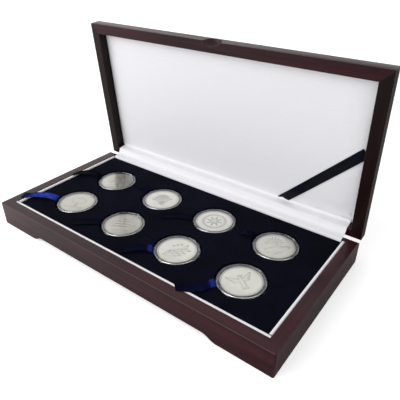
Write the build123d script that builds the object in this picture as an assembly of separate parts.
from build123d import *
from math import cos, radians, sin, sqrt
import os

# Coin display box: a lacquered hardwood case with a hinged lid, open at rest. Its velvet insert holds
# eight coins, each in a clear capsule that lifts out on a ribbon.
# Millimetres. +X runs along the front from left to right, +Y towards the hinges, +Z up. Pieces are drawn
# about the middle of the base, the lid's pieces closed and then turned open. The finished box is moved so
# that the origin lies on the table, under the middle of the open box's outline.

# Case
case_length = 344.0
case_depth = 170.0
rail_width = 11.2
corner_round = 1.4
rim_easing = 0.4

# Base
base_height = 26.0
apron_height = 5.0
foot_length = 53.0
apron_run = 14.0
knee_run = 0.54
knee_rise = 0.62
panel_thickness = 3.0
panel_lift = 5.5
groove_depth = 4.0
groove_slack = 0.1

# Lid
lid_rail_height = 11.0
lid_panel_thickness = 3.0
lid_top_round = 2.9
closing_gap = 0.4
open_angle = 85.5
notch_radius = 12.5
notch_depth = 6.4

# Bevels that meet at the hinge, drawn in from the back face and down or up from the rims
base_bevel_width = 5.7
base_bevel_drop = 4.2
lid_bevel_width = 3.1
lid_bevel_rise = 3.0

# Hinges
axis_inset = 1.5
axis_drop = 1.7
hinge_inset = 62.0
leaf_length = 30.0
leaf_width = 7.3
leaf_thickness = 0.8
knuckle_radius = 1.95
knuckle_gap = 0.15
pin_radius = 1.0
pin_head = 0.4
running_clearance = 0.03
web_width = 2.0
leaf_slack = 0.1
screw_spacing = 18.0
screw_inset = 2.6
screw_length = 7.0
screw_radius = 0.8
screw_head_radius = 1.5
screw_head_taper = 45
screw_slack = 0.05
screw_sides = 12
slot_width = 0.4
slot_depth = 0.35

# Satin-covered lining strips round the insert
strip_width = 3.0
strip_drop = 0.3
strip_round = 1.4
strip_slack = 0.1

# Velvet insert
velvet_drop = 1.7
velvet_bevel = 0.6
recess_depth = 6.9
floor_board_thickness = 3.0
spacer_width = 14.0
insert_slack = 0.15
flap_room = 1.0

# Coins and capsules
coin_diameter = 38.6
coin_thickness = 2.9
coin_rim_width = 1.3
coin_rim_height = 0.25
coin_play = 0.15
coin_headroom = 0.25
capsule_floor = 1.45
capsule_roof = 1.2
skirt_wall = 1.45
shell_wall = 1.35
snap_clearance = 0.05
shell_height = 3.4
capsule_bevel = 0.6
recess_gap = 1.7
round_sides = 30
column_pitch = 72.5
row_pitch = 61.5
columns = 4

# Pull ribbons
ribbon_width = 10.0
ribbon_thickness = 0.5
ribbon_anchor = 14.0
ribbon_clearance = 0.2
ribbon_lie = 0.25
ribbon_fold = 0.6
ribbon_knee = 1.2
ribbon_bow = 12.0
crest_share = 0.45

# How each ribbon lies: its plan angle in degrees, how far it reaches from the recess centre or past the
# lining's inner edge, and how high it stands over the velvet
ribbon_lies = {
    "front_1": {"angle": 207.5, "past_lining": 9.7, "crest": 4.3},
    "front_2": {"angle": 215.0, "reach": 56.0, "crest": 1.3},
    "front_3": {"angle": 219.0, "past_lining": -7.6, "crest": 2.4},
    "front_4": {"angle": 228.0, "past_lining": 4.6, "crest": 1.2},
    "back_1": {"angle": 199.0, "past_lining": 6.1, "crest": 4.0},
    "back_2": {"angle": 170.0, "reach": 48.1, "crest": 1.1},
    "back_3": {"angle": 209.0, "reach": 58.0, "crest": 1.2},
    "back_4": {"angle": 183.0, "reach": 40.0, "crest": 2.2},
}

# Lid lining, the ribbon across its corner and the satin flap over the hinges
card_thickness = 0.6
card_slack = 0.2
pad_margin = 0.8
pad_edge = 0.4
pad_crown = 1.9
pad_roll = 24.0
corner_ribbon_width = 10.0
corner_ribbon_reach = 80.8
corner_ribbon_thickness = 0.4
corner_ribbon_lie = 0.15
flap_thickness = 0.4
flap_lift = 0.5
flap_end_gap = 0.8
flap_tuck = 5.3
flap_shelf_end = 0.3
flap_edge_bend = 0.9
flap_shelf_bend = 12.0
flap_cove = 4.0

# Places worked out from the sizes above
half_x = case_length / 2
half_y = case_depth / 2
inner_x = half_x - rail_width
inner_y = half_y - rail_width
panel_top = panel_lift + panel_thickness
axis_y = half_y - axis_inset
axis_z = base_height - axis_drop
mortise_z = axis_z - knuckle_radius
lid_rim = base_height + closing_gap
lid_ceiling = lid_rim + lid_rail_height
lid_top = lid_ceiling + lid_panel_thickness
lining_x = inner_x - strip_width
lining_front = -inner_y + strip_width
velvet_top = base_height - velvet_drop
recess_floor = velvet_top - recess_depth
capsule_seat = recess_floor + ribbon_thickness
skirt_radius = coin_diameter / 2 + coin_play + skirt_wall
capsule_radius = skirt_radius + snap_clearance + shell_wall
capsule_height = capsule_floor + coin_thickness + coin_headroom + capsule_roof
recess_radius = capsule_radius + recess_gap
ribbon_rise = sqrt(recess_radius**2 - (ribbon_width / 2)**2) - ribbon_clearance - ribbon_thickness / 2
hinge_places = {"left": -(half_x - hinge_inset), "right": (half_x - hinge_inset)}
beyond = 1.0


def block(x, y, z):
    """Box between two limits on each axis."""
    middle = Pos((x[0] + x[1]) / 2, (y[0] + y[1]) / 2, (z[0] + z[1]) / 2)
    return middle * Box(x[1] - x[0], y[1] - y[0], z[1] - z[0])


def prism_along_x(outline, x_low, x_high):
    """Extrude a face drawn as (y, z) from x_low to x_high."""
    return Pos(x_low, 0, 0) * extrude(Plane.YZ * outline, x_high - x_low)


def prism_along_y(outline, y_low, y_high):
    """Extrude a face drawn as (x, z) from y_low to y_high."""
    return Pos(0, y_high, 0) * extrude(Plane.XZ * outline, y_high - y_low)


def opened(piece):
    """Turn a lid piece from its closed place to the open one, about the hinge axis."""
    return piece.rotate(Axis((0, axis_y, axis_z), (1, 0, 0)), -open_angle)


def opened_point(y, z):
    """Where a closed (y, z) point lies once the lid is open."""
    turn = radians(open_angle)
    dy = y - axis_y
    dz = z - axis_z
    return (axis_y + dy * cos(turn) + dz * sin(turn), axis_z - dy * sin(turn) + dz * cos(turn))


def case_ring(z_low, z_high):
    """The four rails in one, before they are mitred."""
    outer = RectangleRounded(case_length, case_depth, corner_round)
    inner = Rectangle(2 * inner_x, 2 * inner_y)
    return Pos(0, 0, z_low) * extrude(outer - inner, z_high - z_low)


def ease_rim(ring, z_rim):
    """Take the sharp edges off the ring in the plane of its rim."""
    rim = ring.edges().filter_by_position(Axis.Z, z_rim - rim_easing / 10, z_rim + rim_easing / 10)
    return chamfer(rim, rim_easing)


def disc(radius, z_low, z_high, sides=round_sides):
    """Round slice of a piece that repeats, drawn with a set number of sides."""
    return Pos(0, 0, z_low) * extrude(RegularPolygon(radius, sides), z_high - z_low)


def mitred(ring, z_low, z_high):
    """Cut a ring at its corners into front, back, left and right rails."""
    corners = {
        "front": [(-half_x, -half_y), (half_x, -half_y), (inner_x, -inner_y), (-inner_x, -inner_y)],
        "back": [(half_x, half_y), (-half_x, half_y), (-inner_x, inner_y), (inner_x, inner_y)],
        "left": [(-half_x, half_y), (-half_x, -half_y), (-inner_x, -inner_y), (-inner_x, inner_y)],
        "right": [(half_x, -half_y), (half_x, half_y), (inner_x, inner_y), (inner_x, -inner_y)],
    }
    rails = {}
    for side, outline in corners.items():
        wedge = Pos(0, 0, z_low) * extrude(make_face(Polyline(*outline, close=True)), z_high - z_low)
        rails[side] = ring & wedge
    return rails


def apron_cutter():
    """Cut-out under the front and back rails, with an ogee at each foot."""
    foot = half_x - foot_length
    flat = foot - apron_run
    knee = (foot - knee_run * apron_run, knee_rise * apron_height)
    upper = TangentArc((flat, apron_height), knee, tangent=(1, 0))
    lower = TangentArc(knee, (foot, 0), tangent=upper % 1)
    upper_left = mirror(upper, Plane.YZ)
    lower_left = mirror(lower, Plane.YZ)
    top = Line((-flat, apron_height), (flat, apron_height))
    below = Polyline((foot, 0), (foot, -beyond), (-foot, -beyond), (-foot, 0))
    outline = make_face(upper.edges() + lower.edges() + upper_left.edges() + lower_left.edges()
                        + top.edges() + below.edges())
    return prism_along_y(outline, -half_y - beyond, half_y + beyond)


def base_bevel_cutter():
    """Bevel along the top back edge of the base."""
    start = half_y - base_bevel_width
    slope = base_bevel_drop / base_bevel_width
    end = half_y + beyond
    outline = make_face(Polyline((start, base_height), (end, base_height - slope * (end - start)),
                                 (end, base_height + beyond), (start, base_height + beyond), close=True))
    return prism_along_x(outline, -half_x - beyond, half_x + beyond)


def lid_bevel_cutter():
    """Bevel along the back edge of the closed lid's rim."""
    start = half_y - lid_bevel_width
    slope = lid_bevel_rise / lid_bevel_width
    end = half_y + beyond
    outline = make_face(Polyline((start, lid_rim), (start, lid_rim - beyond), (end, lid_rim - beyond),
                                 (end, lid_rim + slope * (end - start)), close=True))
    return prism_along_x(outline, -half_x - beyond, half_x + beyond)


def screw_places(x):
    """The two screws of a hinge leaf, as (x, y)."""
    y = axis_y - leaf_width + screw_inset
    return [(x - screw_spacing / 2, y), (x + screw_spacing / 2, y)]


def pilot_holes(z_face, up):
    """Holes in the wood for the screws of both hinges, from z_face into the wood."""
    depth = screw_length - leaf_thickness + leaf_slack
    hole = disc(screw_radius + screw_slack, 0 if up else -depth, depth if up else 0, screw_sides)
    return [Pos(x, y, z_face) * hole for place in hinge_places.values() for x, y in screw_places(place)]


def base_rails():
    """Four mitred rails, grooved for the bottom panel and mortised for the hinges."""
    ring = ease_rim(case_ring(0, base_height), base_height)
    reach_x = inner_x + groove_depth + groove_slack
    reach_y = inner_y + groove_depth + groove_slack
    groove = block((-reach_x, reach_x), (-reach_y, reach_y), (panel_lift, panel_top + groove_slack))
    ring = ring - groove - apron_cutter() - base_bevel_cutter()
    for x in hinge_places.values():
        wide = leaf_length / 2 + leaf_slack
        ring = ring - block((x - wide, x + wide), (axis_y - leaf_width - leaf_slack, half_y + beyond),
                            (mortise_z, base_height + beyond))
    for hole in pilot_holes(mortise_z, False):
        ring = ring - hole
    return mitred(ring, 0, base_height)


def base_panel():
    """Bottom board, held in the grooves."""
    reach_x = inner_x + groove_depth
    reach_y = inner_y + groove_depth
    return block((-reach_x, reach_x), (-reach_y, reach_y), (panel_lift, panel_top))


def lining_strips():
    """Satin-covered strips that stand on the bottom panel against the front, left and right rails."""
    z = (panel_top, base_height - strip_drop)
    side_y = (lining_front + strip_slack, inner_y - strip_slack)
    front_x = inner_x - strip_slack
    strips = {
        "front": block((-front_x, front_x), (-inner_y, lining_front), z),
        "left": block((-inner_x, -lining_x), side_y, z),
        "right": block((lining_x, inner_x), side_y, z),
    }
    for side, strip in strips.items():
        long_edges = strip.edges().group_by(Axis.Z)[-1].filter_by(Axis.X if side == "front" else Axis.Y)
        strips[side] = fillet(long_edges, strip_round)
    return strips


def recess_places():
    """Names and centres of the recesses, front row first, left to right."""
    places = {}
    for row, y in (("front", -row_pitch / 2), ("back", row_pitch / 2)):
        for column in range(columns):
            places[f"{row}_{column + 1}"] = ((column - (columns - 1) / 2) * column_pitch, y)
    return places


def insert_outline():
    """Limits of the insert in x and y."""
    wide = lining_x - insert_slack
    return (-wide, wide), (lining_front + insert_slack, inner_y - flap_room)


def insert_top_board():
    """Velvet-covered board with eight round holes, its edges eased."""
    x, y = insert_outline()
    board = block(x, y, (recess_floor, velvet_top))
    for place in recess_places().values():
        board = board - Pos(*place, velvet_top - recess_depth / 2) * Cylinder(recess_radius, recess_depth)
    return chamfer(board.edges().group_by(Axis.Z)[-1], velvet_bevel)


def insert_floor_board():
    """Velvet-covered board that closes the recesses from below."""
    x, y = insert_outline()
    return block(x, y, (recess_floor - floor_board_thickness, recess_floor))


def insert_spacer():
    """Frame with a crossbar that carries the insert above the bottom panel."""
    x, y = insert_outline()
    z = (panel_top, recess_floor - floor_board_thickness)
    frame = block(x, y, z)
    bar = spacer_width / 2
    for window in ((x[0] + spacer_width, -bar), (bar, x[1] - spacer_width)):
        frame = frame - block(window, (y[0] + spacer_width, y[1] - spacer_width), z)
    return frame


def capsule_base():
    """Lower shell of a capsule, a shallow dish."""
    shell = disc(capsule_radius, 0, shell_height)
    shell = chamfer(shell.edges().group_by(Axis.Z)[0], capsule_bevel)
    return shell - disc(skirt_radius + snap_clearance, capsule_floor, shell_height)


def capsule_top():
    """Upper shell, whose skirt snaps into the lower one and centres the coin."""
    parting = shell_height + snap_clearance
    skirt_end = capsule_floor + snap_clearance
    roof = disc(capsule_radius, parting, capsule_height)
    roof = chamfer(roof.edges().group_by(Axis.Z)[-1], capsule_bevel)
    skirt = disc(skirt_radius, skirt_end, parting)
    return roof + skirt - disc(skirt_radius - skirt_wall, skirt_end, capsule_height - capsule_roof)


def coin():
    """Coin with a raised rim on both faces, lying on the capsule's floor."""
    low = capsule_floor
    high = capsule_floor + coin_thickness
    field = coin_diameter / 2 - coin_rim_width
    blank = disc(coin_diameter / 2, low, high)
    return blank - disc(field, low, low + coin_rim_height) - disc(field, high - coin_rim_height, high)


def run_to_lining(place, angle):
    """Distance from a recess centre to the nearer lining strip, along a plan angle to the front left."""
    towards_left = (place[0] + lining_x) / -cos(radians(angle))
    towards_front = (place[1] - lining_front) / -sin(radians(angle))
    return min(towards_left, towards_front)


def pull_ribbon(place, lie):
    """Ribbon that runs under the capsule, up the recess wall and out over the insert."""
    past_lining = lie.get("past_lining", 0)
    reach = lie.get("reach", run_to_lining(place, lie["angle"]) + past_lining)
    support = base_height if past_lining > 0 else velvet_top
    low = recess_floor + ribbon_thickness / 2
    over = ribbon_lie + ribbon_thickness / 2
    crest_at = ribbon_rise + crest_share * (reach - ribbon_rise)
    middle = FilletPolyline((-ribbon_anchor, low), (ribbon_rise, low),
                            (ribbon_rise, velvet_top + over + lie["crest"] / 2),
                            (crest_at, velvet_top + lie["crest"]), (reach, support + over),
                            radius=[ribbon_fold, ribbon_knee, ribbon_bow])
    strip = prism_along_y(trace(middle, ribbon_thickness), -ribbon_width / 2, ribbon_width / 2)
    return Pos(*place, 0) * Rot(0, 0, lie["angle"]) * strip


def notch_cutter():
    """Ball that scoops the finger notch out of the lid's front rim."""
    return Pos(0, -half_y - notch_radius + notch_depth, lid_rim) * Sphere(notch_radius)


def lid_rails():
    """Four mitred rails of the closed lid, with the finger notch, the bevel and the leaf recesses."""
    ring = ease_rim(case_ring(lid_rim, lid_ceiling), lid_rim)
    ring = ring - lid_bevel_cutter() - notch_cutter()
    for x in hinge_places.values():
        wide = leaf_length / 2 + leaf_slack
        ring = ring - block((x - wide, x + wide), (axis_y - leaf_width - leaf_slack, half_y + beyond),
                            (lid_rim - beyond, lid_rim + leaf_thickness))
    for hole in pilot_holes(lid_rim + leaf_thickness, True):
        ring = ring - hole
    return mitred(ring, lid_rim, lid_ceiling)


def rounded_section(width):
    """Section of the lid's panel, its two top corners rounded."""
    section = Pos(0, (lid_ceiling + lid_top) / 2) * Rectangle(width, lid_panel_thickness)
    return fillet(section.vertices().group_by(Axis.Y)[-1], lid_top_round)


def lid_panel():
    """Top board over the rails, its four top edges rounded over."""
    plan = Pos(0, 0, lid_ceiling) * extrude(RectangleRounded(case_length, case_depth, corner_round),
                                            lid_panel_thickness)
    lengthwise = prism_along_x(rounded_section(case_depth), -half_x, half_x)
    crosswise = prism_along_y(rounded_section(case_length), -half_y, half_y)
    return (plan & lengthwise & crosswise) - notch_cutter()


def lid_lining_board():
    """Card under the panel that carries the padded satin."""
    wide = inner_x - card_slack
    deep = inner_y - card_slack
    return block((-wide, wide), (-deep, deep), (lid_ceiling - card_thickness, lid_ceiling))


def pad_section(flat, side, lift):
    """Section of the pad's face, flat in the middle and rolled down to its sides, raised by lift."""
    base = lid_ceiling - card_thickness
    edge = base - pad_edge - lift
    crown = base - pad_crown - lift
    right = TangentArc((flat, crown), (side, edge), tangent=(1, 0))
    left = TangentArc((-flat, crown), (-side, edge), tangent=(-1, 0))
    face = Line((-flat, crown), (flat, crown))
    back = Polyline((side, edge), (side, base), (-side, base), (-side, edge))
    return make_face(right.edges() + left.edges() + face.edges() + back.edges())


def pad_layer(wide, deep, lift):
    """Everything between the card and the pad's face raised by lift, over a given half width and depth."""
    flat_x = inner_x - pad_margin - pad_roll
    flat_y = inner_y - pad_margin - pad_roll
    lengthwise = prism_along_x(pad_section(flat_y, deep, lift), -wide, wide)
    crosswise = prism_along_y(pad_section(flat_x, wide, lift), -deep, deep)
    return lengthwise & crosswise


def lid_satin_pad():
    """Wadded satin, with a low crown and rolled edges."""
    return pad_layer(inner_x - pad_margin, inner_y - pad_margin, 0)


def certificate_ribbon():
    """Ribbon across the pad's corner, lying on the satin."""
    wide = inner_x - strip_slack
    deep = inner_y - flap_lift - flap_thickness
    over = corner_ribbon_lie + corner_ribbon_thickness
    layer = pad_layer(wide, deep, over) - pad_layer(wide, deep, corner_ribbon_lie)
    middle = Pos(inner_x - corner_ribbon_reach / 2, inner_y - corner_ribbon_reach / 2, lid_ceiling)
    band = middle * Rot(0, 0, -45) * Box(2 * corner_ribbon_reach, corner_ribbon_width, lid_rail_height)
    return layer & band


def hinge_flap():
    """Satin sheet tucked beside the insert, across the rims over the hinges, and in beside the pad."""
    beside = inner_y - flap_lift
    over = base_height + flap_lift
    under = lid_rim - flap_lift
    shelf_end = half_y - base_bevel_width - flap_shelf_end
    middle = FilletPolyline((beside, velvet_top - flap_tuck), (beside, over), (shelf_end, over),
                            opened_point(half_y - lid_bevel_width, under), opened_point(beside, under),
                            opened_point(beside, lid_ceiling - card_thickness - flap_lift),
                            radius=[flap_edge_bend, flap_shelf_bend, flap_cove, flap_edge_bend])
    wide = lining_x - flap_end_gap
    return prism_along_x(trace(middle, flap_thickness), -wide, wide)


def barrel(radius, x_low, x_high):
    """Round bar on the hinge axis."""
    return Pos((x_low + x_high) / 2, axis_y, axis_z) * Rot(0, 90, 0) * Cylinder(radius, x_high - x_low)


def countersink(x, y, z_face, up, slack):
    """Screw head's cone and shank, from a leaf's face into the wood."""
    depth = screw_head_radius - screw_radius
    cone = extrude(RegularPolygon(screw_head_radius + slack, screw_sides), depth, taper=screw_head_taper)
    body = cone + disc(screw_radius + slack, 0, screw_length, screw_sides)
    return Pos(x, y, z_face) * (body if up else Rot(180, 0, 0) * body)


def screw(x, y, z_face, up):
    """Slotted countersunk screw."""
    slot = Pos(x, y, z_face) * Box(3 * screw_head_radius, slot_width, 2 * slot_depth)
    return countersink(x, y, z_face, up, 0) - slot


def hinge_base_leaf(x):
    """Leaf at the bottom of the base's mortise, with the two outer knuckles."""
    end = leaf_length / 2
    inner = end - (leaf_length - 2 * knuckle_gap) / 3
    front = axis_y - leaf_width
    plate = block((x - end, x + end), (front, axis_y), (mortise_z, mortise_z + leaf_thickness))
    relief_y = axis_y - knuckle_radius - leaf_slack - leaf_thickness
    plate = plate - block((x - inner, x + inner), (relief_y, axis_y), (mortise_z, axis_z))
    leaf = plate + barrel(knuckle_radius, x - end, x - inner) + barrel(knuckle_radius, x + inner, x + end)
    leaf = leaf - barrel(pin_radius + running_clearance, x - end, x + end)
    for px, py in screw_places(x):
        leaf = leaf - countersink(px, py, mortise_z + leaf_thickness, False, screw_slack)
    return leaf


def hinge_lid_leaf(x):
    """Leaf let into the lid's rim, with the middle knuckle on a short web."""
    end = leaf_length / 2
    knuckle = (leaf_length - 2 * knuckle_gap) / 6 - knuckle_gap
    z = (lid_rim, lid_rim + leaf_thickness)
    wood_edge = half_y - lid_bevel_width - leaf_slack
    plate = block((x - end, x + end), (axis_y - leaf_width, wood_edge), z)
    tongue = block((x - knuckle, x + knuckle), (axis_y - leaf_width, axis_y + web_width / 2), z)
    web = block((x - knuckle, x + knuckle), (axis_y - web_width / 2, axis_y + web_width / 2),
                (axis_z, lid_rim))
    leaf = plate + tongue + web + barrel(knuckle_radius, x - knuckle, x + knuckle)
    leaf = leaf - barrel(pin_radius + running_clearance, x - end, x + end)
    for px, py in screw_places(x):
        leaf = leaf - countersink(px, py, lid_rim, True, screw_slack)
    return leaf


def hinge_pins():
    """Pin of each hinge, a little proud of its knuckles."""
    reach = leaf_length / 2 + pin_head
    return [barrel(pin_radius, x - reach, x + reach) for x in hinge_places.values()]


def screws(z_face, up):
    """The four screws of one half of both hinges."""
    return [screw(x, y, z_face, up) for place in hinge_places.values() for x, y in screw_places(place)]


def all_pieces():
    """Every piece by its name, in its place with the lid open."""
    pieces = {f"base_{side}_rail": rail for side, rail in base_rails().items()}
    pieces["base_panel"] = base_panel()
    for side, strip in lining_strips().items():
        pieces[f"{side}_lining_strip"] = strip
    pieces["insert_top_board"] = insert_top_board()
    pieces["insert_floor_board"] = insert_floor_board()
    pieces["insert_spacer"] = insert_spacer()
    for name, place in recess_places().items():
        pieces[f"pull_ribbon_{name}"] = pull_ribbon(place, ribbon_lies[name])
        seat = Pos(*place, capsule_seat)
        pieces[f"capsule_base_{name}"] = seat * capsule_base()
        pieces[f"capsule_top_{name}"] = seat * capsule_top()
        pieces[f"coin_{name}"] = seat * coin()
    for side, rail in lid_rails().items():
        pieces[f"lid_{side}_rail"] = opened(rail)
    pieces["lid_panel"] = opened(lid_panel())
    pieces["lid_lining_board"] = opened(lid_lining_board())
    pieces["lid_satin_pad"] = opened(lid_satin_pad())
    pieces["certificate_ribbon"] = opened(certificate_ribbon())
    pieces["hinge_flap"] = hinge_flap()
    for side, x in hinge_places.items():
        pieces[f"{side}_hinge_base_leaf"] = hinge_base_leaf(x)
        pieces[f"{side}_hinge_lid_leaf"] = opened(hinge_lid_leaf(x))
    pieces["hinge_pins"] = Compound(children=hinge_pins())
    pieces["base_hinge_screws"] = Compound(children=screws(mortise_z + leaf_thickness, False))
    pieces["lid_hinge_screws"] = opened(Compound(children=screws(lid_rim, True)))
    return pieces


os.makedirs("parts", exist_ok=True)
pieces = all_pieces()
lid_overhang = max(piece.bounding_box().max.Y for piece in pieces.values()) - half_y
for name, piece in pieces.items():
    export_step(Pos(0, -lid_overhang / 2, 0) * piece, f"parts/{name}.step")
